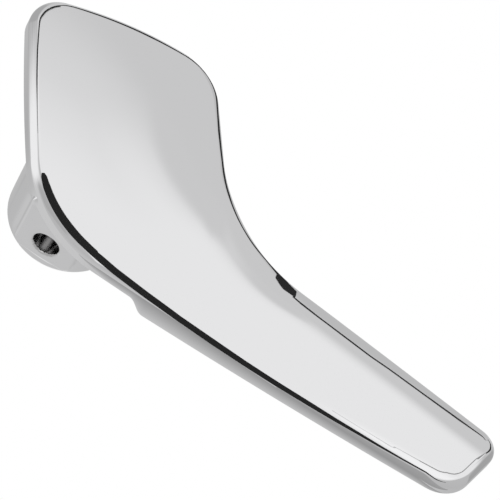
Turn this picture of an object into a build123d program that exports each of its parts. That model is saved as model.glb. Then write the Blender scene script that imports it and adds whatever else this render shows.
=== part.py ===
"""Chrome-plated lever handle for the inside of a car door, one die casting.

X runs along the arm to its tip, Z is up and the face looks toward -Y, into the cabin.
The origin is the middle of the spindle socket's mouth, on the end of the boss.
All lengths are in millimetres.
"""
from build123d import *
import math
import os

# Face outline: corners of the straight-sided figure, as X and Z from the spindle
heel_x = -4.0
lower_drop = 21.1
tip_reach = 113.9
tip_lean = 4.8
tip_width = 20.2
tip_lift = -0.4
neck_x = 35.2
neck_z = 5.5
head_right_x = 10.9
head_right_z = 46.2
head_left_x = -35.6
head_left_z = 34.7
low_bulge = 1.0
top_bulge = 2.7
side_bulge = 1.0

# Corner radii of the outline
heel_radius = 32.0
tip_low_radius = 8.4
tip_high_radius = 5.5
neck_radius = 41.0
head_right_radius = 14.7
head_left_radius = 8.3

# Depths, from the face toward the door
stand_off = 25.0
rim_depth = 4.6
arm_skirt = 8.3
tip_skirt = 4.8
step_x = 25.2
step_run = 3.0
step_radius = 2.0
back_tilt = 3.5
wall = 2.6
edge_radius = 2.2

# Crown of the face: a slow crown both ways and a soft fold along the upper edge
crown_radius_across = 700.0
crown_radius_along = 2500.0
crown_top_x = 40.0
crown_top_z = -11.0
fold_inset_head = 20.0
fold_inset_arm = 3.5
fold_slope_head = 0.12
fold_slope_arm = 0.55
fold_softness_head = 12.0
fold_softness_arm = 5.0
fold_turn_softness = 12.0
fold_change_start = 28.0
fold_change_end = 64.0
low_roll_inset = 2.0
low_roll_slope = 0.3
low_roll_softness = 3.0
crown_grid = 4.0
crown_margin = 8.0
crown_fit = 0.01
crown_degree_low = 3
crown_degree_high = 5

# Boss with its spindle socket and set-screw hole
boss_radius = 14.2
boss_draft = 0.5
boss_edge = 1.0
boss_foot = 1.2
socket_width = 9.7
socket_corner = 0.6
socket_depth = 17.0
socket_lead = 0.6
screw_radius = 3.3
screw_from_end = 9.0
screw_lead = 0.3
pad_height = 14.4
pad_width = 15.4
pad_end_gap = 3.2
pad_corner = 2.5
pad_edge = 0.8

# Ribs that carry the arm's load into the boss
rib_thickness = 2.2
rib_pitch = 9.0
rib_count = 2
rib_z = -10.0
rib_end_x = 66.0
rib_rise = 6.0

heel = (heel_x, -lower_drop)
tip_low = (tip_reach - tip_lean, -lower_drop + tip_lift)
tip_high = (tip_reach, -lower_drop + tip_lift + tip_width)
neck = (neck_x, neck_z)
head_right = (head_right_x, head_right_z)
head_left = (head_left_x, head_left_z)
through = 4 * stand_off
outer_corners = [
    (heel, heel_radius),
    (tip_low, tip_low_radius),
    (tip_high, tip_high_radius),
    (head_right, head_right_radius),
    (head_left, head_left_radius),
]


def inside_line(x, z, start, end):
    """Distance from a line to a point on its left, negative on its right."""
    run = end[0] - start[0]
    rise = end[1] - start[1]
    return (run * (z - start[1]) - rise * (x - start[0])) / math.hypot(run, rise)


def soft_ramp(t, softness):
    """Zero for t well below 0, t for t well above 0, with a soft bend between."""
    return (t + math.hypot(t, softness)) / 2


def arm_share(x):
    """0 on the head, 1 on the arm, with a smooth change between."""
    u = (x - fold_change_start) / (fold_change_end - fold_change_start)
    u = min(max(u, 0.0), 1.0)
    return u * u * (3 - 2 * u)


def raw_crown(x, z):
    """How far the face lies behind its foremost plane."""
    arm = arm_share(x)
    past_head_fold = fold_inset_head - inside_line(x, z, neck, head_right)
    past_arm_fold = fold_inset_arm - inside_line(x, z, tip_high, neck)
    apart = math.hypot(past_head_fold - past_arm_fold, fold_turn_softness)
    past_fold = (past_head_fold + past_arm_fold - apart) / 2
    slope = fold_slope_head + (fold_slope_arm - fold_slope_head) * arm
    softness = fold_softness_head + (fold_softness_arm - fold_softness_head) * arm
    past_low_roll = low_roll_inset - (z + lower_drop)
    return (
        (z - crown_top_z) ** 2 / (2 * crown_radius_across)
        + (x - crown_top_x) ** 2 / (2 * crown_radius_along)
        + slope * soft_ramp(past_fold, softness)
        + low_roll_slope * arm * soft_ramp(past_low_roll, low_roll_softness)
    )


def crown_surface(depth):
    """The crowned face, moved toward the door by a depth."""
    left = head_left_x - crown_margin
    low = -lower_drop - crown_margin
    columns = math.ceil((tip_reach + crown_margin - left) / crown_grid) + 1
    rows = math.ceil((head_right_z + crown_margin - low) / crown_grid) + 1
    level = depth - stand_off - raw_crown(0, 0)
    points = []
    for i in range(columns):
        x = left + i * crown_grid
        column = [low + j * crown_grid for j in range(rows)]
        points.append([(x, level + raw_crown(x, z), z) for z in column])
    return Face.make_surface_from_array_of_points(
        points,
        tol=crown_fit,
        min_deg=crown_degree_low,
        max_deg=crown_degree_high,
    )


def round_corner(sketch, corner, radius):
    """Round the vertex of a sketch that lies nearest to a corner."""
    fillet(sketch.vertices().sort_by_distance((corner[0], corner[1], 0))[0], radius)


# Sharp-cornered figure with only its neck rounded, and the rounded outline of the face
with BuildSketch(Plane.XZ) as figure:
    with BuildLine():
        SagittaArc(tip_low, heel, low_bulge)
        Polyline(tip_low, tip_high, neck, head_right)
        SagittaArc(head_left, head_right, top_bulge)
        SagittaArc(heel, head_left, side_bulge)
    make_face()
    round_corner(figure, neck, neck_radius)
with BuildSketch(Plane.XZ) as outline:
    add(figure.sketch_local)
    for corner, radius in outer_corners:
        round_corner(outline, corner, radius)

# Hollow back inside the rim and skirt
with BuildPart() as hollow:
    with BuildSketch(Plane.XZ) as cavity:
        add(figure.sketch_local)
        offset(amount=-wall, mode=Mode.REPLACE)
        for corner, radius in outer_corners:
            round_corner(cavity, corner, radius - wall)
    extrude(amount=stand_off)
    extrude(crown_surface(wall), amount=stand_off, dir=(0, 1, 0), mode=Mode.INTERSECT)

# Round boss with a short conical foot that stays inside the outline
root_y = wall / 2 - stand_off
foot_y = rim_depth - stand_off
shank_y = foot_y + boss_foot
shank_radius = boss_radius - shank_y * math.tan(math.radians(boss_draft))
with BuildPart() as boss:
    with BuildSketch(Plane.XY):
        with BuildLine():
            Polyline(
                (0, root_y),
                (0, 0),
                (boss_radius - boss_edge, 0),
                (boss_radius, -boss_edge),
                (shank_radius, shank_y),
                (shank_radius + boss_foot, foot_y),
                (shank_radius + boss_foot, root_y),
                close=True,
            )
        make_face()
    revolve(axis=Axis.Y)
    with BuildSketch(Plane.XZ):
        add(outline.sketch_local)
    extrude(amount=through, both=True, mode=Mode.INTERSECT)

# Flat pad for the set screw, on the lower side of the boss
pad_length = stand_off - rim_depth - pad_end_gap
with BuildPart() as pad:
    with BuildSketch(Plane.XY):
        with Locations((0, -pad_end_gap - pad_length / 2)):
            RectangleRounded(pad_width, pad_length, pad_corner)
    extrude(amount=-pad_height)
    fillet(pad.faces().sort_by(Axis.Z)[0].edges(), pad_edge)

back_plane = Plane(
    (0, 0, -lower_drop),
    x_dir=(1, 0, 0),
    z_dir=(0, math.sin(math.radians(back_tilt)), math.cos(math.radians(back_tilt))),
)
rim_step = (step_x - step_run / 2, rim_depth - stand_off)
skirt_step = (step_x + step_run / 2, arm_skirt - stand_off)
skirt_tip = (tip_reach, tip_skirt - stand_off)

with BuildPart() as handle:
    # Front with its rounded edge
    with BuildSketch(Plane.XZ):
        add(outline.sketch_local)
    extrude(amount=through)
    extrude(crown_surface(0), amount=through, dir=(0, 1, 0), mode=Mode.INTERSECT)
    face = handle.faces().filter_by(GeomType.BSPLINE).sort_by(SortBy.AREA)[-1]
    fillet(face.edges(), edge_radius)

    # Back edge: a shallow rim behind the head, a step, and a skirt that tapers toward the tip
    with BuildSketch(back_plane) as back_edge:
        with BuildLine():
            Polyline(
                (head_left_x, stand_off),
                (head_left_x, rim_depth - stand_off),
                rim_step,
                skirt_step,
                skirt_tip,
                (tip_reach, stand_off),
                close=True,
            )
        make_face()
        for corner in (rim_step, skirt_step):
            round_corner(back_edge, corner, step_radius)
    extrude(amount=through, both=True, mode=Mode.SUBTRACT)
    add(hollow.part, mode=Mode.SUBTRACT)

    # Ribs from the boss into the arm
    for i in range(rib_count):
        with BuildSketch(Plane.XY.offset(rib_z + (i - (rib_count - 1) / 2) * rib_pitch)):
            with BuildLine():
                Polyline(
                    (0, root_y),
                    (rib_end_x, root_y),
                    (rib_end_x, wall - stand_off),
                    (boss_radius, rib_rise - stand_off),
                    (0, rib_rise - stand_off),
                    close=True,
                )
            make_face()
        extrude(amount=rib_thickness / 2, both=True)

    add(boss.part)
    add(pad.part)

    # Spindle socket
    with BuildSketch(Plane.XZ):
        RectangleRounded(socket_width, socket_width, socket_corner)
    extrude(amount=socket_depth, mode=Mode.SUBTRACT)
    mouth = handle.faces().sort_by(Axis.Y)[-1]
    chamfer(mouth.inner_wires()[0].edges(), socket_lead)

    # Set-screw hole through the pad into the socket
    with Locations(Plane((0, -screw_from_end, -pad_height), x_dir=(1, 0, 0), z_dir=(0, 0, -1))):
        Hole(screw_radius, pad_height)
    screw_edges = handle.edges(Select.LAST).filter_by(GeomType.CIRCLE)
    chamfer(screw_edges.sort_by(Axis.Z)[0], screw_lead)

handle.part.label = "handle"
os.makedirs("parts", exist_ok=True)
export_step(handle.part, "parts/handle.step")
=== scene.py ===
import bpy
import numpy as np
from mathutils import Matrix, Vector
from mathutils.geometry import delaunay_2d_cdt


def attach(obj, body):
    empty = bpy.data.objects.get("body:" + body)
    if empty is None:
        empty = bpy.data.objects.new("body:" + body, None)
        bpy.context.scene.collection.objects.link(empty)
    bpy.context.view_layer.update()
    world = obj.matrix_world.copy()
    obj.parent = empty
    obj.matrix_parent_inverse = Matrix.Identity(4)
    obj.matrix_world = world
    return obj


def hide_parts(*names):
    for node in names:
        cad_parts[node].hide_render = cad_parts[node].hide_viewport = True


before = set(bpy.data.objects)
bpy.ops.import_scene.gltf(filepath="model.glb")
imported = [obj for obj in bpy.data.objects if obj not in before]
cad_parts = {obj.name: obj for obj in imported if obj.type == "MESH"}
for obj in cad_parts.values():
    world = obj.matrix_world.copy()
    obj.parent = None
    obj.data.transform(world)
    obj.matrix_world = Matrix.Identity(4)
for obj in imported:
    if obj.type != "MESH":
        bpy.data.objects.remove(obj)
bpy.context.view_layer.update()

# The casting is drawn in millimetres, in the frame of the CAD model, and scaled to metres at the end
MM = 0.001

# Face outline, counterclockwise in X and Z: corner of the sharp figure, outward bulge of the side
# that starts there, and corner radius, negative where the outline turns inward. A straight side has
# a bulge too small to see
STRAIGHT = 1e-4
LOWER_DROP = 21.1
NECK = (35.2, 5.5)
HEAD_RIGHT = (10.9, 46.2)
TIP_HIGH = (113.9, -1.3)
OUTLINE = (
    ((-4.0, -LOWER_DROP), 1.0, 32.0),
    ((109.1, -21.5), STRAIGHT, 8.4),
    (TIP_HIGH, STRAIGHT, 5.5),
    (NECK, STRAIGHT, -41.0),
    (HEAD_RIGHT, 2.7, 14.7),
    ((-35.6, 34.7), 1.0, 8.3),
)
OUTLINE_STEP = 0.5
OUTLINE_TURN = np.radians(4.0)
CORNER_ROUNDS = 80

# Depths, from the foremost plane of the face toward the door
STAND_OFF = 25.0
RIM_DEPTH = 4.6
ARM_SKIRT = 8.3
TIP_SKIRT = 4.8
STEP_X = 25.2
STEP_RUN = 3.0
STEP_RADIUS = 2.0
BACK_TILT = np.radians(3.5)
WALL = 2.6
EDGE_RADIUS = 2.2
BACK_ROUND = 0.4
FLOOR_ROUND = 0.6

# Crown of the face, with head and arm values in pairs: a slow crown both ways, a soft fold along the
# upper edge that changes from head to arm, and a roll along the arm's lower edge
CROWN_ACROSS = 700.0
CROWN_ALONG = 2500.0
CROWN_TOP = (40.0, -11.0)
FOLD_INSET = (20.0, 3.5)
FOLD_SLOPE = (0.12, 0.55)
FOLD_SOFT = (12.0, 5.0)
FOLD_TURN_SOFT = 12.0
FOLD_CHANGE = (28.0, 64.0)
LOW_ROLL_INSET = 2.0
LOW_ROLL_SLOPE = 0.3
LOW_ROLL_SOFT = 3.0

# Boss with its spindle socket, set-screw hole and pad
BOSS_RADIUS = 14.2
BOSS_DRAFT = np.radians(0.5)
BOSS_EDGE = 1.0
BOSS_FOOT = 1.2
BOSS_INSET = 0.12
BOSS_SOFT = 0.35
SOCKET_HALF = 4.85
SOCKET_CORNER = 0.6
SOCKET_DEPTH = 17.0
SOCKET_LEAD = 0.6
SCREW_RADIUS = 3.3
SCREW_FROM_END = 9.0
SCREW_LEAD = 0.3
BORE_SOFT = 0.2
PAD_HEIGHT = 14.4
PAD_HALF = 7.7
PAD_END_GAP = 3.2
PAD_CORNER = 2.5
PAD_EDGE = 0.8

# Ribs from the boss into the arm
RIB_HALF = 1.1
RIB_Z = (-14.5, -5.5)
RIB_LAP = 2.0
RIB_END_X = 66.0
RIB_RISE = 6.0
RIB_DEPTH = 6.0
RIB_ROUND = 0.6

# Sides that the surfaces of the casting face, along Y and across the outline
FRONT = -1.0
BACK = 1.0
OUTWARD = 1.0
INWARD = -1.0

# Fineness of the mesh: rings in a rounding, spacing of the fills, and the grid for the boss, whose
# points are then settled on its surface
SLOPE_STEP = 1e-3
EDGE_RINGS = 14
SMALL_RINGS = 5
RIB_ROWS = 40
FILL_SPACING = 1.2
FILL_MARGIN = 0.6 * FILL_SPACING
FILL_MERGE = 1e-6
FILL_INSIDE_ONLY = 1
BOSS_VOXEL = 0.4
BOSS_GRID_REACH = BOSS_RADIUS + 3.0
BOSS_GRID_Y = (0.5 - STAND_OFF, 1.0)
FIELD_STEP = 0.04
SETTLE_ROUNDS = 3
SETTLE_MOVE = 0.2
SETTLE_SLOPE = 0.25
BORE_NEAR = 0.12

# Polish of the casting: 0 is mirror chrome, and 1 would be dull metal that no polisher reaches
# The bore's value is partly dull metal and partly painted shade: it darkens the socket and the
# set-screw hole
POLISH_FACE = 0.0
POLISH_HOLLOW = 0.45
BORE_DULLNESS_AND_SHADE = 0.4
CHROME = 0.88
CHROME_TINT = (CHROME, CHROME, CHROME * 1.01, 1.0)
# Dark tint of dull metal, also used as painted shade in the bore
DULL_AND_SHADE_TINT = (0.3, 0.29, 0.28, 1.0)
DULL_ROUGHNESS = 0.3

# Wipe marks in the gloss, clouds in the dull metal and grain in the bump. A range of the noise is
# mapped to a range of dullness or roughness, and the grain is stronger where the metal is dull
WIPE_SCALE = 60.0
WIPE_DETAIL = 5.0
CLOUD_NOISE = (0.35, 0.65)
CLOUD_DULLNESS = (0.8, 1.2)
GLOSS_NOISE = (0.35, 0.7)
GLOSS_ROUGHNESS = (0.025, 0.055)
GRAIN_SCALE = 900.0
GRAIN_DETAIL = 3.0
GRAIN_HEIGHT = 0.00005
GRAIN_STRENGTH = 0.004
GRAIN_STRENGTH_DULL = 0.3

# Camera of the photograph: it looks up at the face from below, rolled so that the arm points down
CAMERA_AIM = Vector((40.2, -25.0, 4.2)) * MM
CAMERA_DISTANCE = 0.85
CAMERA_TILT = np.radians(36.0)
CAMERA_ROLL = np.radians(32.7)
CAMERA_SENSOR = 36.0
CAMERA_LENS = 7.412 * CAMERA_SENSOR

# Studio: a pale floor, a soft lamp and the white world
FLOOR_Z = -0.62
FLOOR_HALF = 12.0
FLOOR_TONES = (0.86, 0.89)
FLOOR_ROUGHNESS = 0.9
MOTTLE_SCALE = 8.0
MOTTLE_DETAIL = 2.0
LAMP_SIZE = 1.2
LAMP_POWER = 15.0
LAMP_PLACE = Vector((0.1, -0.9, 1.3))
WHITE = (1, 1, 1, 1)
WHITE_STRENGTH = 1.0
PLAIN_STRENGTH = 0.85

# Light tent that only the chrome mirrors, in degrees right and up of the direction that the face
# mirrors: its rings, its grey levels by degrees from that direction, and its panels in the order they
# are hung, each with a grey level, the softness of its edge and its corners
TENT_CENTRE = Vector((40.0, -23.0, 5.0)) * MM
TENT_RADIUS = 0.56
TENT_RINGS = np.concatenate(
    [np.arange(0.5, 60, 1.0), np.arange(60, 100, 2.0), np.arange(100, 180, 4.0)]
)
TENT_SPOKES = 240
TENT_TONES = ((0, 186), (90, 182), (120, 180), (150, 188), (180, 190))
PANELS = (
    ("back_light", 218, 14.0, ((-42, 122), (42, 122), (42, 150), (-42, 150))),
    ("left_back", 196, 15.0, (
        (-100, -25), (-104, 80), (-140, 60), (-168, 20), (-168, -20), (-140, -40),
    )),
    ("left_grey", 165, 8.0, (
        (-30, 4), (-60, 1), (-78, 9), (-88, 28), (-88, 62), (-70, 95), (-50, 70), (-36, 36), (-30, 14),
    )),
    ("left_white", 235, 12.0, (
        (-36, -6), (-60, -4), (-80, 4), (-94, 22), (-98, 40), (-114, 36), (-114, 16), (-110, -6),
        (-92, -26), (-70, -31), (-52, -28), (-44, -18),
    )),
    ("heel_grey", 168, 8.0, (
        (-54, -36), (-70, -34), (-90, -32), (-100, -50), (-60, -85), (-40, -70),
    )),
    ("low_light", 229, 8.0, (
        (-30, -4), (14, -1), (36, 4), (50, 2), (36, -22), (30, -40), (18, -64), (16, -110), (-20, -110),
        (-30, -40),
    )),
    ("right_white", 241, 5.0, (
        (9, -28), (12.5, -20), (16, -12), (20, -14), (24, -30), (20, -40), (14, -52), (11, -66),
        (9.5, -60),
    )),
    ("right_grey", 160, 8.0, (
        (48, 8), (60, 4), (76, 10), (90, 26), (94, 60), (72, 72), (56, 62), (46, 40),
    )),
    ("softbox", 229, 3.0, (
        (-30, -8), (-12, -3.5), (-6.5, -6), (20, -6), (26, 6), (22, 30), (14, 34), (-20, 34), (-30, 12),
    )),
    ("left_dim", 215, 9.0, ((-34, 1), (-7, 3), (-5, 10), (-34, 10))),
    ("shade", 198, 10.0, ((-34, 8.6), (40, 9.4), (40, 86), (-34, 86))),
    ("shade_core", 199, 2.4, (
        (-3.6, 13), (-2.9, 9.2), (-1.2, 7.3), (0.6, 7), (2.4, 8), (3.6, 9), (4, 13),
    )),
    ("arm_band", 185, 4.0, ((3, 25), (8, 25), (12, 29.5), (16, 34), (24, 36), (24, 100), (3, 100))),
)

# Narrow studio cards, which the handle's edge mirrors as crisp lines: distance in millimetres, grey
# level at the start and end across the edge, then places along the outline. A place has X and Z of the
# outline, and where the line starts and ends across the edge there: millimetres inside the rounding
# where negative, degrees round it up to a quarter turn, and a quarter plus millimetres down the wall
QUARTER = 90
CARD_ROWS = 9
CARD_EDGE_RINGS = 37
CARDS = (
    # Black band along the lower edge
    ("edge_flag", 5.0, (36, 36), (
        (-10.3, -10.5, -0.2, 12), (-9.6, -11.2, -0.6, 20), (-7.7, -13.2, -0.75, 27),
        (-2.9, -16.8, -0.75, 31), (2.4, -19.5, -0.7, 34), (8.2, -21.1, -0.45, 37),
        (11.2, -21.6, -0.2, 42), (12.8, -21.7, 2, 46), (17.1, -21.8, 18, 60), (26, -22, 34, 77),
        (35, -22.2, 44, 88), (44, -22.3, 44, 90), (53, -22.3, 44, 88), (62, -22.3, 41, 81),
        (71, -22.3, 37, 71), (76.8, -22.2, 36, 63), (82.8, -22.1, 32.5, 53), (88.7, -22, 30, 45),
        (94.7, -21.9, 25, 36), (100.7, -21.7, 17, 26), (103.6, -21.6, 24, 30), (106.6, -20.4, 30, 31),
    )),
    # Dark patch at the neck and dark line round the head
    ("frame_line", 20.0, (40, 40), (
        (55.3, 3.9, -1.3, -0.9), (54, 4.1, -1.35, 8), (52.2, 4.2, -1.6, 22), (51, 4.6, -1.35, 34),
        (49.5, 5, -0.6, 38), (48, 5.3, 9, 40), (45, 6.2, 18, 38), (42, 7.4, 12, 31), (40, 8.6, 8, 23),
        (37, 10.2, 7, 19), (34.5, 12, 7, 20), (32, 14, 10, 25), (30, 16, 14, 33), (28, 18, 18, 38),
        (26, 21, 22, 46), (25, 23, 25, 46), (23, 26, 21, 41), (20, 31, 17.5, 39), (17, 36, 23, 42),
        (15, 39, 25, 48), (10, 44, 28, 52), (2, 46, 9, 22), (-7, 44, 4, 22), (-22.3, 40.3, 8, 22),
        (-26.1, 38.9, 10, 21), (-29.6, 37.2, -0.2, 5), (-31.9, 34.1, -0.45, 0), (-32.6, 30.2, -0.4, 1),
        (-31.5, 26.5, 0, 8), (-29.7, 22.9, 4.5, 12), (-27.8, 19.4, 8.5, 16.5), (-24, 12.4, 11, 19),
        (-20.2, 5.4, 13.5, 17), (-16.1, -1.5, 14.5, 16),
    )),
    # Dark line along the arm's upper edge
    ("arm_line", 12.0, (45, 45), (
        (112.3, -8, 2, 9), (112.5, -5.6, 7, 19), (111.8, -3.5, 7, 17), (110.9, -2.3, 2, 6),
        (110.3, -1.8, -0.3, -0.1), (106.6, -0.7, -0.55, -0.15), (101.6, -0.2, -0.95, -0.35),
        (91.7, 0.6, -1.35, -0.85), (81.8, 1.5, -1.7, -1.2), (76.9, 1.9, -2.05, -1.55),
        (62, 3.2, -2.1, -1.6), (57.1, 3.6, -1.95, -1.4), (54, 4.1, -1.6, -1.2),
    )),
    # Grey line round the tip, and its faint end above the black band
    ("tip_line", 5.0, (140, 140), (
        (112.3, -8, 0, 3), (111.6, -10.9, -0.5, -0.3), (110.1, -16.6, -0.55, -0.35),
        (108.6, -19, -0.75, -0.5), (106.3, -20.7, -1.15, -0.9), (103.6, -21.6, -0.95, -0.7),
        (97.7, -21.8, -0.5, -0.3),
    )),
    ("low_line", 5.0, (186, 186), (
        (98.4, -21.8, -0.55, -0.35), (91.7, -22, -0.1, 0), (90.5, -22, 0.1, 1), (85.7, -22.1, 0.6, 2.4),
        (79.8, -22.2, 3, 6), (75, -22.2, 5, 8),
    )),
    # Grey below the black band, and the wall that brightens away from it
    ("edge_grey", 5.0, (158, 150), (
        (62, -22.3, 82, 90), (71, -22.3, 74, 90), (82.8, -22.1, 56, 90), (88.7, -22, 52, 90),
        (94.7, -21.9, 44, 90), (100.7, -21.7, 34, 90), (103.6, -21.6, 50, 90), (107.5, -19.8, 86, 90),
    )),
    ("wall_fade", 5.0, (148, 198), (
        (8, -21.1, 90, 90.2), (17, -21.8, 90, 92.6), (23, -22, 90, 92.7), (27, -22, 90, 96.6),
        (44, -22.3, 90, 95.6), (72, -22.3, 90, 93.9), (100, -21.8, 90, 92.4), (104, -21.5, 90.6, 92.3),
        (108, -19.4, 92.2, 92.4),
    )),
)


def unit(vectors):
    """Vectors scaled to a length of 1."""
    return vectors / np.linalg.norm(vectors, axis=-1, keepdims=True)


def between(pair, share):
    """Value part of the way from the first to the second of a pair."""
    return pair[0] + (pair[1] - pair[0]) * share


def smooth_step(share):
    """Smooth change from 0 to 1, and level outside that range."""
    share = np.clip(share, 0, 1)
    return share * share * (3 - 2 * share)


def side_circle(start, end, bulge):
    """Centre and radius of the shallow arc between two corners."""
    start, end = np.array(start), np.array(end)
    run = end - start
    length = np.hypot(*run)
    left = np.array([-run[1], run[0]]) / length
    radius = length ** 2 / (8 * bulge) + bulge / 2
    return (start + end) / 2 + left * (radius - bulge), radius


def arc_points(centre, start, end, outward):
    """Points round a centre from start up to, not including, end, with outward normals."""
    first = np.arctan2(*(start - centre)[::-1])
    last = np.arctan2(*(end - centre)[::-1])
    sweep = (last - first + np.pi) % (2 * np.pi) - np.pi
    radius = np.hypot(*(start - centre))
    count = int(np.ceil(max(abs(sweep) / OUTLINE_TURN, abs(sweep) * radius / OUTLINE_STEP, 1)))
    angle = first + sweep * np.arange(count) / count
    spoke = np.stack([np.cos(angle), np.sin(angle)], 1)
    return centre + radius * spoke, outward * spoke


def round_outline():
    """Points and outward normals of the rounded outline.

    The centre of a corner's arc is moved onto the right distance from one side and then the other,
    until it has both.
    """
    sides = [
        side_circle(start, end, bulge)
        for (start, bulge, _), (end, _, _) in zip(OUTLINE, OUTLINE[1:] + OUTLINE[:1])
    ]
    arcs = []
    for i, (corner, _, radius) in enumerate(OUTLINE):
        pair = sides[i - 1], sides[i]
        centre = np.array(corner)
        for _ in range(CORNER_ROUNDS):
            for middle, side_radius in pair:
                centre = middle + unit(centre - middle) * (side_radius - radius)
        enter, leave = (middle + unit(centre - middle) * side_radius for middle, side_radius in pair)
        arcs.append((centre, enter, leave, np.sign(radius)))
    runs = []
    for arc, following, (middle, _) in zip(arcs, arcs[1:] + arcs[:1], sides):
        runs.append(arc_points(*arc))
        runs.append(arc_points(middle, arc[2], following[1], OUTWARD))
    points, normals = zip(*runs)
    return np.concatenate(points), np.concatenate(normals)


def outline_distance(flat, border):
    """Distance of points in a plane from a closed border, negative inside it."""
    nearest = np.full(len(flat), np.inf)
    inside = np.zeros(len(flat), bool)
    for start, end in zip(border, np.roll(border, -1, 0)):
        run = end - start
        share = np.clip((flat - start) @ run / (run @ run), 0, 1)
        gap = np.linalg.norm(flat - start - share[:, None] * run, axis=1)
        nearest = np.minimum(nearest, gap)
        crosses = (start[1] > flat[:, 1]) != (end[1] > flat[:, 1])
        where = start[0] + (flat[:, 1] - start[1]) * run[0] / (run[1] if run[1] else 1.0)
        inside ^= crosses & (flat[:, 0] < where)
    return np.where(inside, -nearest, nearest)


def inside_line(x, z, start, end):
    """Distance from a line to a point on its left, negative on its right."""
    run, rise = end[0] - start[0], end[1] - start[1]
    return (run * (z - start[1]) - rise * (x - start[0])) / np.hypot(run, rise)


def soft_ramp(t, softness):
    """Zero for t well below 0, t for t well above 0, with a soft bend between."""
    return (t + np.hypot(t, softness)) / 2


def crown(x, z):
    """How far the face lies behind its foremost plane."""
    arm = smooth_step((x - FOLD_CHANGE[0]) / (FOLD_CHANGE[1] - FOLD_CHANGE[0]))
    past_head = FOLD_INSET[0] - inside_line(x, z, NECK, HEAD_RIGHT)
    past_arm = FOLD_INSET[1] - inside_line(x, z, TIP_HIGH, NECK)
    past_fold = (past_head + past_arm - np.hypot(past_head - past_arm, FOLD_TURN_SOFT)) / 2
    past_low_roll = LOW_ROLL_INSET - (z + LOWER_DROP)
    return (
        (z - CROWN_TOP[1]) ** 2 / (2 * CROWN_ACROSS)
        + (x - CROWN_TOP[0]) ** 2 / (2 * CROWN_ALONG)
        + between(FOLD_SLOPE, arm) * soft_ramp(past_fold, between(FOLD_SOFT, arm))
        + LOW_ROLL_SLOPE * arm * soft_ramp(past_low_roll, LOW_ROLL_SOFT)
    )


def face_y(x, z):
    """Y of the face. At the spindle it lies the stand-off in front of the boss's end."""
    return crown(x, z) - crown(0.0, 0.0) - STAND_OFF


def floor_y(x, z):
    """Y of the floor of the hollow back."""
    return face_y(x, z) + WALL


def bend(t, run):
    """0 below the bend, t above it, and a parabola over the run between."""
    u = np.clip(t / run + 0.5, 0, 1)
    return np.where(t > run / 2, t, run * u * u / 2)


def back_y(x, z):
    """Y of the back edge: a rim, a step and a tapering skirt, all leaning back with height."""
    rim_end = STEP_X - STEP_RUN / 2
    skirt_start = STEP_X + STEP_RUN / 2
    step_slope = (ARM_SKIRT - RIM_DEPTH) / STEP_RUN
    skirt_slope = (TIP_SKIRT - ARM_SKIRT) / (TIP_HIGH[0] - skirt_start)
    rim_run = 2 * STEP_RADIUS * np.sin(np.arctan(step_slope) / 2)
    skirt_run = 2 * STEP_RADIUS * np.sin((np.arctan(step_slope) - np.arctan(skirt_slope)) / 2)
    level = (
        RIM_DEPTH
        - STAND_OFF
        + step_slope * bend(x - rim_end, rim_run)
        + (skirt_slope - step_slope) * bend(x - skirt_start, skirt_run)
    )
    return level / np.cos(BACK_TILT) + np.tan(BACK_TILT) * (z + LOWER_DROP)


def surface_normal(height, x, z):
    """Normal of y = height(x, z) on its +Y side, and the length along Y of a unit of its normal."""
    slope_x = (height(x + SLOPE_STEP, z) - height(x - SLOPE_STEP, z)) / (2 * SLOPE_STEP)
    slope_z = (height(x, z + SLOPE_STEP) - height(x, z - SLOPE_STEP)) / (2 * SLOPE_STEP)
    stretch = np.sqrt(1 + slope_x ** 2 + slope_z ** 2)
    return np.stack([-slope_x, np.ones_like(slope_x), -slope_z], -1) / stretch[..., None], stretch


def turn_between(start, end, share):
    """Unit vectors part of the way from start to end, along the shortest turn."""
    angle = np.arccos(np.clip((start * end).sum(-1), -1, 1))[..., None]
    return (np.sin((1 - share) * angle) * start + np.sin(share * angle) * end) / np.sin(angle)


def rounding(outline, inset, height, side, radius, wall_side, hollow, count):
    """Rings of points and normals that round the edge between a height surface and a wall.

    A ball of the radius rolls along the outline, with its centre inset from it. The surface faces
    side, FRONT or BACK, and the wall faces wall_side, OUTWARD or INWARD. A hollow rounding fills a
    corner, and the other kind rounds one off.
    """
    points, normals = outline
    x, z = (points - inset * normals).T
    normal, stretch = surface_normal(height, x, z)
    normal = normal * side
    wall = wall_side * np.stack([normals[:, 0], np.zeros(len(normals)), normals[:, 1]], 1)
    toward = 1.0 if hollow else -1.0
    centre = np.stack([x, height(x, z) + toward * side * radius * stretch, z], 1)
    rings = []
    for share in np.linspace(0, 1, count):
        turn = turn_between(normal, wall, share)
        rings.append((centre - toward * radius * turn, turn))
    return rings


def front_rounding(outline, count):
    """Rings of the rounded edge of the face, from the face to the wall."""
    return rounding(outline, EDGE_RADIUS, face_y, FRONT, EDGE_RADIUS, OUTWARD, False, count)


def add_object(name, data):
    """A new object in the scene."""
    item = bpy.data.objects.new(name, data)
    bpy.context.scene.collection.objects.link(item)
    return item


class Casting:
    """Collects points, normals, dullness and faces of the handle; in the bore the dullness also paints
    shade.
    """

    def __init__(self):
        self.points, self.normals, self.polish, self.faces = [], [], [], []
        self.count = 0

    def add(self, points, normals, polish, faces):
        """Add a skin whose faces count its own points from 0."""
        self.points.append(points)
        self.normals.append(normals)
        self.polish.append(np.broadcast_to(polish, len(points)))
        self.faces += [tuple(int(i) + self.count for i in face) for face in faces]
        self.count += len(points)

    def object(self, name):
        """The skins as one smooth object, with their own normals and an attribute for dullness, which
        also darkens the bore as painted shade.
        """
        mesh = bpy.data.meshes.new(name)
        mesh.from_pydata(np.concatenate(self.points) * MM, [], self.faces)
        mesh.polygons.foreach_set("use_smooth", np.ones(len(mesh.polygons), bool))
        mesh.normals_split_custom_set_from_vertices(np.concatenate(self.normals))
        polish = mesh.attributes.new("polish", "FLOAT", "POINT")
        polish.data.foreach_set("value", np.concatenate(self.polish).astype(np.float32))
        return add_object(name, mesh)


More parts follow.
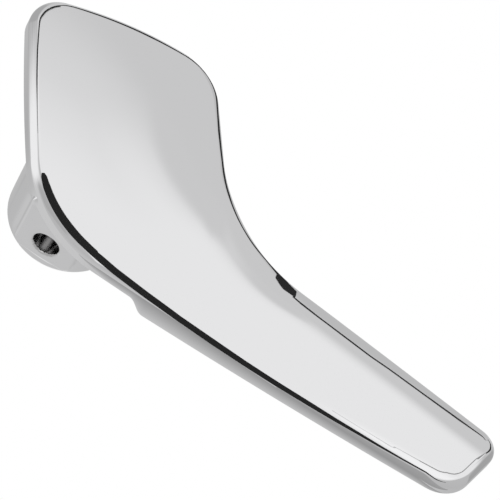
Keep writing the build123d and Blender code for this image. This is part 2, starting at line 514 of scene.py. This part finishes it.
def ring_faces(rows, count):
    """Quads between rows of points that close on themselves."""
    faces = []
    for row in range(rows - 1):
        a = row * count
        b = a + count
        faces += [(a + i, b + i, b + (i + 1) % count, a + (i + 1) % count) for i in range(count)]
    return faces


def fill_ring(ring, height, side):
    """Points, normals and triangles of a height surface inside a ring of points."""
    border = ring[:, [0, 2]]
    spans = [np.arange(low, high, FILL_SPACING) for low, high in zip(border.min(0), border.max(0))]
    grid = np.stack(np.meshgrid(*spans), -1).reshape(-1, 2)
    inside = outline_distance(grid, border) < -FILL_MARGIN
    flat = [Vector(p) for p in np.concatenate([border, grid[inside]])]
    got = delaunay_2d_cdt(flat, [], [list(range(len(border)))], FILL_INSIDE_ONLY, FILL_MERGE)
    x, z = np.array([tuple(p) for p in got[0]]).T
    normals, _ = surface_normal(height, x, z)
    points = np.stack([x, height(x, z), z], 1)
    for number, origin in enumerate(got[3]):
        if origin and origin[0] < len(ring):
            points[number] = ring[origin[0]]
    faces = [face if side == FRONT else face[::-1] for face in got[2]]
    return points, normals * side, faces


def add_shell(casting, outline):
    """Face, rounded edge, wall, back edge, inner wall and floor as one closed skin."""

    def small_rounding(inset, height, radius, wall_side, hollow):
        return rounding(outline, inset, height, BACK, radius, wall_side, hollow, SMALL_RINGS)

    front = front_rounding(outline, EDGE_RINGS)
    outer = small_rounding(BACK_ROUND, back_y, BACK_ROUND, OUTWARD, False)[::-1]
    inner = small_rounding(WALL - BACK_ROUND, back_y, BACK_ROUND, INWARD, False)
    floor = small_rounding(WALL + FLOOR_ROUND, floor_y, FLOOR_ROUND, INWARD, True)[::-1]
    outside, inside = front + outer, outer[-1:] + inner + floor
    for rings, polish in ((outside, POLISH_FACE), (inside, POLISH_HOLLOW)):
        points, normals = (np.concatenate(part) for part in zip(*rings))
        casting.add(points, normals, polish, ring_faces(len(rings), len(outline[0])))
    for ring, height, side, polish in (
        (front[0][0], face_y, FRONT, POLISH_FACE),
        (floor[-1][0], floor_y, BACK, POLISH_HOLLOW),
    ):
        points, normals, faces = fill_ring(ring, height, side)
        casting.add(points, normals, polish, faces)


def soft_max(a, b, softness=BOSS_SOFT):
    """The greater of two distances, with a soft edge where they meet."""
    return (a + b + np.sqrt((a - b) ** 2 + softness ** 2)) / 2


def soft_min(a, b, softness=BOSS_SOFT):
    """The lesser of two distances, with a soft corner where they meet."""
    return -soft_max(-a, -b, softness)


def rounded_meeting(a, b, radius):
    """Distance from a solid behind two walls, with the edge between them rounded."""
    a, b = a + radius, b + radius
    outside = np.hypot(np.maximum(a, 0), np.maximum(b, 0))
    return outside + np.minimum(np.maximum(a, b), 0) - radius


def rounded_box(a, b, half_a, half_b, corner):
    """Distance from a rectangle with rounded corners."""
    return rounded_meeting(np.abs(a) - half_a, np.abs(b) - half_b, corner)


def screw_field(x, y, z):
    """Distance from the set-screw hole with its countersunk mouth."""
    across = np.hypot(x, y + SCREW_FROM_END)
    lead = (across - SCREW_RADIUS - SCREW_LEAD + (z + PAD_HEIGHT)) / np.sqrt(2)
    return np.maximum(np.minimum(across - SCREW_RADIUS, lead), z)


def socket_field(x, y, z):
    """Distance from the square spindle socket with its chamfered mouth."""
    square = rounded_box(x, z, SOCKET_HALF, SOCKET_HALF, SOCKET_CORNER)
    lead = (square - SOCKET_LEAD - y) / np.sqrt(2)
    return np.maximum(np.minimum(square, lead), -y - SOCKET_DEPTH)


def boss_field(x, y, z, clip):
    """Distance from the boss, negative inside. clip is the distance from the outline."""
    foot_y = RIM_DEPTH - STAND_OFF
    shank_y = foot_y + BOSS_FOOT
    shank_radius = BOSS_RADIUS - shank_y * np.tan(BOSS_DRAFT)
    across = np.hypot(x, z)
    shank = soft_max(across - BOSS_RADIUS + y * np.tan(BOSS_DRAFT), y)
    shank = soft_max(shank, (across + y - BOSS_RADIUS + BOSS_EDGE) / np.sqrt(2))
    cone = (across + y - shank_radius - shank_y) / np.sqrt(2)
    foot = np.maximum(cone, across - shank_radius - BOSS_FOOT)
    round_boss = soft_max(soft_min(shank, foot), clip + BOSS_INSET)
    pad_length = STAND_OFF - RIM_DEPTH - PAD_END_GAP + PAD_CORNER
    pad_y = y + PAD_END_GAP + pad_length / 2
    side = rounded_box(x, pad_y, PAD_HALF, pad_length / 2, PAD_CORNER)
    pad = rounded_meeting(side, -z - PAD_HEIGHT, PAD_EDGE)
    solid = soft_min(round_boss, np.maximum(pad, z))
    solid = soft_max(solid, -socket_field(x, y, z), BORE_SOFT)
    solid = soft_max(solid, -screw_field(x, y, z), BORE_SOFT)
    return np.maximum(solid, WALL / 2 - STAND_OFF - y)


def surface_nets(field):
    """Points in grid units and quads of the surface where a field on a grid changes sign."""
    inside = field < 0
    cells = tuple(n - 1 for n in field.shape)
    total = np.zeros(cells + (3,))
    hits = np.zeros(cells)
    corners = [np.array(c) for c in np.ndindex(2, 2, 2)]

    def corner(values, c):
        return values[tuple(slice(c[k], c[k] + cells[k]) for k in range(3))]

    # A cell's point is the mean of where its edges cross the surface
    for start in corners:
        for axis in range(3):
            if start[axis]:
                continue
            end = start.copy()
            end[axis] = 1
            a, b = corner(field, start), corner(field, end)
            crossed = corner(inside, start) != corner(inside, end)
            share = np.where(crossed, a / np.where(crossed, a - b, 1.0), 0.0)
            place = np.broadcast_to(start.astype(float), cells + (3,)).copy()
            place[..., axis] = share
            total += place * crossed[..., None]
            hits += crossed
    used = hits > 0
    number = np.full(cells, -1)
    number[used] = np.arange(used.sum())
    points = np.argwhere(used) + total[used] / hits[used][:, None]

    # The four cells round each crossed edge of the grid make a quad
    faces = []
    for axis in range(3):
        near = np.take(inside, range(field.shape[axis] - 1), axis)
        far = np.take(inside, range(1, field.shape[axis]), axis)
        other, third = (axis + 1) % 3, (axis + 2) % 3
        for edge in np.argwhere(near != far):
            if min(edge[other], edge[third]) < 1:
                continue
            quad = []
            for back_other, back_third in ((1, 1), (0, 1), (0, 0), (1, 0)):
                cell = edge.copy()
                cell[other] -= back_other
                cell[third] -= back_third
                quad.append(number[tuple(cell)])
            faces.append(quad if near[tuple(edge)] else quad[::-1])
    return points, faces


def add_boss(casting, outline):
    """Boss, pad, socket and screw hole as one skin, meshed from their distance field."""
    border = outline[0]

    def value(p):
        return boss_field(p[:, 0], p[:, 1], p[:, 2], outline_distance(p[:, [0, 2]], border))

    def slope(p):
        offsets = np.eye(3) * FIELD_STEP
        return np.stack([value(p + o) - value(p - o) for o in offsets], 1) / (2 * FIELD_STEP)

    x = np.arange(-BOSS_GRID_REACH, BOSS_GRID_REACH, BOSS_VOXEL)
    y = np.arange(*BOSS_GRID_Y, BOSS_VOXEL)
    flat = np.stack(np.meshgrid(x, x, indexing="ij"), -1)
    clip = outline_distance(flat.reshape(-1, 2), border).reshape(len(x), 1, len(x))
    field = boss_field(x[:, None, None], y[None, :, None], x[None, None, :], clip)
    points, faces = surface_nets(field)
    points = points * BOSS_VOXEL + np.array([x[0], y[0], x[0]])

    # Settle the points on the surface itself
    for _ in range(SETTLE_ROUNDS):
        gradient = slope(points)
        size = np.maximum((gradient ** 2).sum(1), SETTLE_SLOPE)
        move = np.clip(value(points) / size, -SETTLE_MOVE, SETTLE_MOVE)
        points = points - gradient * move[:, None]
    # The socket and screw hole get a duller, darker colour: partly dull metal, partly painted shade of
    # the hole
    bore = np.minimum(screw_field(*points.T), socket_field(*points.T)) < BORE_NEAR
    casting.add(points, unit(slope(points)), np.where(bore, BORE_DULLNESS_AND_SHADE, POLISH_FACE), faces)


def add_ribs(casting):
    """Two ribs with rounded tops that run from the boss down to the floor of the arm."""
    x = np.linspace(BOSS_RADIUS - RIB_LAP, RIB_END_X, RIB_ROWS)
    top = np.interp(x, [BOSS_RADIUS, RIB_END_X], [RIB_RISE - STAND_OFF, WALL - STAND_OFF])
    quarter = np.linspace(0, np.pi / 2, SMALL_RINGS)
    arc = np.stack([np.cos(quarter), np.sin(quarter)], 1)
    flat = RIB_HALF - RIB_ROUND
    right = np.stack([flat + RIB_ROUND * arc[:, 0], RIB_ROUND * (arc[:, 1] - 1)], 1)
    mirror = (-1, 1)
    foot = np.array([(RIB_HALF, -RIB_DEPTH)])
    profile = np.concatenate([foot, right, right[::-1] * mirror, foot * mirror])
    facing = np.concatenate([[(1, 0)], arc, arc[::-1] * mirror, [(-1, 0)]])
    rows, count = len(x), len(profile)
    profile_z, profile_y = np.tile(profile, (rows, 1)).T
    facing_z, facing_y = np.tile(facing, (rows, 1)).T
    normals = np.stack([np.zeros(rows * count), facing_y, facing_z], 1)
    ends = [tuple(range(count)), tuple(reversed(range((rows - 1) * count, rows * count)))]
    for z in RIB_Z:
        points = np.stack([np.repeat(x, count), np.repeat(top, count) + profile_y, z + profile_z], 1)
        points[:, 1] = np.maximum(points[:, 1], WALL / 2 + face_y(points[:, 0], points[:, 2]))
        casting.add(points, normals, POLISH_HOLLOW, ring_faces(rows, count) + ends)


class Graph:
    """Nodes and links of a material or of the world."""

    def __init__(self, owner):
        owner.use_nodes = True
        self.nodes, self.links = owner.node_tree.nodes, owner.node_tree.links

    def fill(self, node, inputs):
        """Link the inputs that are outputs of other nodes, and set the rest as constants."""
        for socket, value in inputs.items():
            if isinstance(value, bpy.types.NodeSocket):
                self.links.new(value, node.inputs[socket])
            else:
                node.inputs[socket].default_value = value
        return node

    def add(self, kind, inputs):
        """A new node with its inputs."""
        return self.fill(self.nodes.new(kind), inputs)

    def attribute(self, name):
        """Value of an attribute of the mesh."""
        node = self.nodes.new("ShaderNodeAttribute")
        node.attribute_name = name
        return node.outputs["Fac"]

    def noise(self, scale, detail):
        """Noise that stays with the object."""
        place = self.nodes.new("ShaderNodeTexCoord").outputs["Object"]
        inputs = {"Vector": place, "Scale": scale, "Detail": detail}
        return self.add("ShaderNodeTexNoise", inputs).outputs["Fac"]

    def map_range(self, value, source, target):
        """A value moved from its range in source to that in target."""
        inputs = {"Value": value, "From Min": source[0], "From Max": source[1]}
        inputs.update({"To Min": target[0], "To Max": target[1]})
        return self.add("ShaderNodeMapRange", inputs).outputs["Result"]

    def math(self, operation, *values):
        """Result of one sum on the values."""
        node = self.nodes.new("ShaderNodeMath")
        node.operation = operation
        return self.fill(node, dict(enumerate(values))).outputs["Value"]

    def mix(self, share, a, b):
        """Colour part of the way from a to b."""
        node = self.nodes.new("ShaderNodeMix")
        node.data_type = "RGBA"
        return self.fill(node, {"Factor": share, "A": a, "B": b}).outputs["Result"]


def chrome_material():
    """Plated die casting: mirror chrome with wipe marks outside, duller and cloudier inside, and darker
    in the bore, partly as painted shade.
    """
    material = bpy.data.materials.new("polished_chrome")
    graph = Graph(material)
    polish = graph.attribute("polish")
    wipe = graph.noise(WIPE_SCALE, WIPE_DETAIL)
    cloud = graph.map_range(wipe, CLOUD_NOISE, CLOUD_DULLNESS)
    dull_and_shaded = graph.math("MULTIPLY", polish, cloud)
    gloss = graph.map_range(wipe, GLOSS_NOISE, GLOSS_ROUGHNESS)
    grain = graph.noise(GRAIN_SCALE, GRAIN_DETAIL)
    strength = graph.math("MULTIPLY_ADD", polish, GRAIN_STRENGTH_DULL, GRAIN_STRENGTH)
    bump = {"Distance": GRAIN_HEIGHT, "Height": grain, "Strength": strength}
    graph.fill(graph.nodes["Principled BSDF"], {
        "Metallic": 1.0,
        "Roughness": graph.math("MULTIPLY_ADD", dull_and_shaded, DULL_ROUGHNESS, gloss),
        "Base Color": graph.mix(dull_and_shaded, CHROME_TINT, DULL_AND_SHADE_TINT),
        "Normal": graph.add("ShaderNodeBump", bump).outputs["Normal"],
    })
    return material


def glow_material():
    """Light given off by the attribute of the mesh."""
    material = bpy.data.materials.new("studio_panels")
    graph = Graph(material)
    graph.nodes.remove(graph.nodes["Principled BSDF"])
    glow = graph.add("ShaderNodeEmission", {"Strength": graph.attribute("light")})
    graph.fill(graph.nodes["Material Output"], {"Surface": glow.outputs["Emission"]})
    return material


def emission_for(tone):
    """Light that shows in the chrome as this grey level, from 0 to 255, by the sRGB curve."""
    s = np.asarray(tone) / 255
    linear = np.where(s <= 0.04045, s / 12.92, ((s + 0.055) / 1.055) ** 2.4)
    return linear / CHROME


def hang(name, points, faces, light, material):
    """Hang a mesh in the scene so that only the chrome mirrors it."""
    mesh = bpy.data.meshes.new(name)
    mesh.from_pydata(points, [], faces)
    level = mesh.attributes.new("light", "FLOAT", "POINT")
    level.data.foreach_set("value", light.astype(np.float32))
    mesh.materials.append(material)
    item = add_object(name, mesh)
    item.visible_camera = False
    item.visible_diffuse = False
    item.visible_shadow = False


def tent_light(right, up):
    """Emission of the tent at places in degrees right and up of the face's mirror direction."""
    flat = np.stack([right, up], 1)
    light = emission_for(np.interp(np.hypot(right, up), *zip(*TENT_TONES)))
    for _, tone, softness, corners in PANELS:
        distance = outline_distance(flat, np.array(corners, float))
        light += (emission_for(tone) - light) * smooth_step(0.5 - distance / softness)
    return light


def light_tent(material):
    """A closed tent round the handle whose panels only the chrome mirrors."""
    turns = np.arange(TENT_SPOKES) * 2 * np.pi / TENT_SPOKES
    ring, turn = (values.ravel() for values in np.meshgrid(TENT_RINGS, turns, indexing="ij"))
    away = np.radians(ring)
    middle = np.array([0, -np.cos(CAMERA_TILT), np.sin(CAMERA_TILT)])
    side = np.array([1.0, 0, 0])
    top = np.array([0, np.sin(CAMERA_TILT), np.cos(CAMERA_TILT)])
    direction = (
        np.cos(away)[:, None] * middle
        + (np.sin(away) * np.cos(turn))[:, None] * side
        + (np.sin(away) * np.sin(turn))[:, None] * top
    )
    rows, count = len(TENT_RINGS), TENT_SPOKES
    ends = [tuple(range(count)), tuple(range((rows - 1) * count, rows * count))]
    points = np.array(TENT_CENTRE) + TENT_RADIUS * direction
    light = tent_light(ring * np.cos(turn), ring * np.sin(turn))
    hang("light_tent", points, ring_faces(rows, count) + ends, light, material)


def card_run(outline, places):
    """Outline indices along a card, with its start and end across the edge at each."""
    points = outline[0]
    count = len(points)
    x, z, start, end = np.array(places).T
    near = [int(np.argmin(np.hypot(points[:, 0] - a, points[:, 1] - b))) for a, b in zip(x, z)]
    for i in range(1, len(near)):
        near[i] = near[i - 1] + (near[i] - near[i - 1] + count // 2) % count - count // 2
    way = np.arange(near[0], near[-1], 1 if near[-1] > near[0] else -1)
    order = np.argsort(near)
    start, end = (np.interp(way, np.array(near)[order], column[order]) for column in (start, end))
    return way % count, start, end


def across_edge(outline, rings, index, place):
    """Points and normals of the front at places across the edge."""
    points, normals = outline
    inset = EDGE_RADIUS - np.minimum(place, 0)
    x, z = np.moveaxis(points[index] - inset[..., None] * normals[index], -1, 0)
    face_point = np.stack([x, face_y(x, z), z], -1)
    face_normal = -surface_normal(face_y, x, z)[0]
    row = np.clip(place, 0, QUARTER) / QUARTER * (len(rings) - 1)
    low = np.minimum(row.astype(int), len(rings) - 2)
    share = (row - low)[..., None]
    ring_points, ring_normals = (np.array(part) for part in zip(*rings))
    edge_point = between((ring_points[low, index], ring_points[low + 1, index]), share)
    edge_point[..., 1] += np.maximum(place - QUARTER, 0)
    edge_normal = unit(between((ring_normals[low, index], ring_normals[low + 1, index]), share))
    on_face = (place < 0)[..., None]
    return np.where(on_face, face_point, edge_point), np.where(on_face, face_normal, edge_normal)


def mirror_cards(outline, material):
    """Narrow cards at a short way along the sight lines that the front mirrors."""
    rings = front_rounding(outline, CARD_EDGE_RINGS)
    eye = np.array(camera_axes()[0]) / MM
    for name, distance, tones, places in CARDS:
        index, start, end = card_run(outline, places)
        place = between((start, end), np.linspace(0, 1, CARD_ROWS)[:, None])
        point, normal = across_edge(outline, rings, np.broadcast_to(index, place.shape), place)
        sight = unit(point - eye)
        mirrored = sight - 2 * (sight * normal).sum(-1, keepdims=True) * normal
        corners = (point + distance * mirrored).reshape(-1, 3) * MM
        count = len(index)
        faces = [
            (row * count + i, row * count + i + 1, (row + 1) * count + i + 1, (row + 1) * count + i)
            for row in range(CARD_ROWS - 1)
            for i in range(count - 1)
        ]
        light = np.repeat(emission_for(np.linspace(*tones, CARD_ROWS)), count)
        hang(name, corners, faces, light, material)


def pale_floor():
    """Pale matt floor below the camera."""
    material = bpy.data.materials.new("pale_floor")
    graph = Graph(material)
    mottle = graph.noise(MOTTLE_SCALE, MOTTLE_DETAIL)
    dark, pale = ((tone, tone, tone, 1.0) for tone in FLOOR_TONES)
    graph.fill(graph.nodes["Principled BSDF"], {
        "Roughness": FLOOR_ROUGHNESS,
        "Base Color": graph.mix(mottle, dark, pale),
    })
    mesh = bpy.data.meshes.new("floor")
    square = ((-1, -1), (1, -1), (1, 1), (-1, 1))
    corners = [(FLOOR_HALF * a, FLOOR_HALF * b, FLOOR_Z) for a, b in square]
    mesh.from_pydata(corners, [], [(0, 1, 2, 3)])
    mesh.materials.append(material)
    floor = add_object("floor", mesh)


def white_world():
    """White to the camera, to mirrors and through glass, and a plain level of light elsewhere."""
    world = bpy.data.worlds.new("white_studio")
    graph = Graph(world)
    plain = graph.fill(graph.nodes["Background"], {"Color": WHITE, "Strength": PLAIN_STRENGTH})
    white = graph.add("ShaderNodeBackground", {"Color": WHITE, "Strength": WHITE_STRENGTH})
    path = graph.nodes.new("ShaderNodeLightPath")
    seen = path.outputs["Is Camera Ray"]
    for ray in ("Is Glossy Ray", "Is Transmission Ray"):
        seen = graph.math("MAXIMUM", seen, path.outputs[ray])
    choice = {"Fac": seen, 1: plain.outputs["Background"], 2: white.outputs["Background"]}
    pick = graph.add("ShaderNodeMixShader", choice)
    graph.fill(graph.nodes["World Output"], {"Surface": pick.outputs["Shader"]})
    bpy.context.scene.world = world


def soft_lamp():
    """One large lamp above and in front of the handle."""
    lamp = bpy.data.lights.new("soft_lamp", "AREA")
    lamp.shape = "DISK"
    lamp.size = LAMP_SIZE
    lamp.energy = LAMP_POWER
    holder = add_object("soft_lamp", lamp)
    holder.location = LAMP_PLACE
    holder.rotation_euler = (-LAMP_PLACE).to_track_quat("-Z", "Y").to_euler()
    holder.visible_glossy = False


def camera_axes():
    """Place of the camera, and its forward, right and up directions."""
    level_right = Vector((1, 0, 0))
    level_up = Vector((0, -np.sin(CAMERA_TILT), np.cos(CAMERA_TILT)))
    forward = Vector((0, np.cos(CAMERA_TILT), np.sin(CAMERA_TILT)))
    right = level_right * np.cos(CAMERA_ROLL) + level_up * np.sin(CAMERA_ROLL)
    up = level_up * np.cos(CAMERA_ROLL) - level_right * np.sin(CAMERA_ROLL)
    return CAMERA_AIM - forward * CAMERA_DISTANCE, forward, right, up


def photo_camera():
    """Camera at the photograph's viewing angle."""
    place, forward, right, up = camera_axes()
    data = bpy.data.cameras.new("photo_camera")
    data.sensor_width = CAMERA_SENSOR
    data.lens = CAMERA_LENS
    camera = add_object("photo_camera", data)
    turn = Matrix((right, up, -forward)).transposed().to_4x4()
    camera.matrix_world = Matrix.Translation(place) @ turn
    bpy.context.scene.camera = camera


photo_camera()
outline = round_outline()
casting = Casting()
add_shell(casting, outline)
add_boss(casting, outline)
add_ribs(casting)
handle = casting.object("handle_casting")
handle.data.materials.append(chrome_material())
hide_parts("handle")
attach(handle, "root")

studio_panels = glow_material()
light_tent(studio_panels)
mirror_cards(outline, studio_panels)
pale_floor()
white_world()
soft_lamp()
bpy.context.scene.view_settings.view_transform = "Standard"
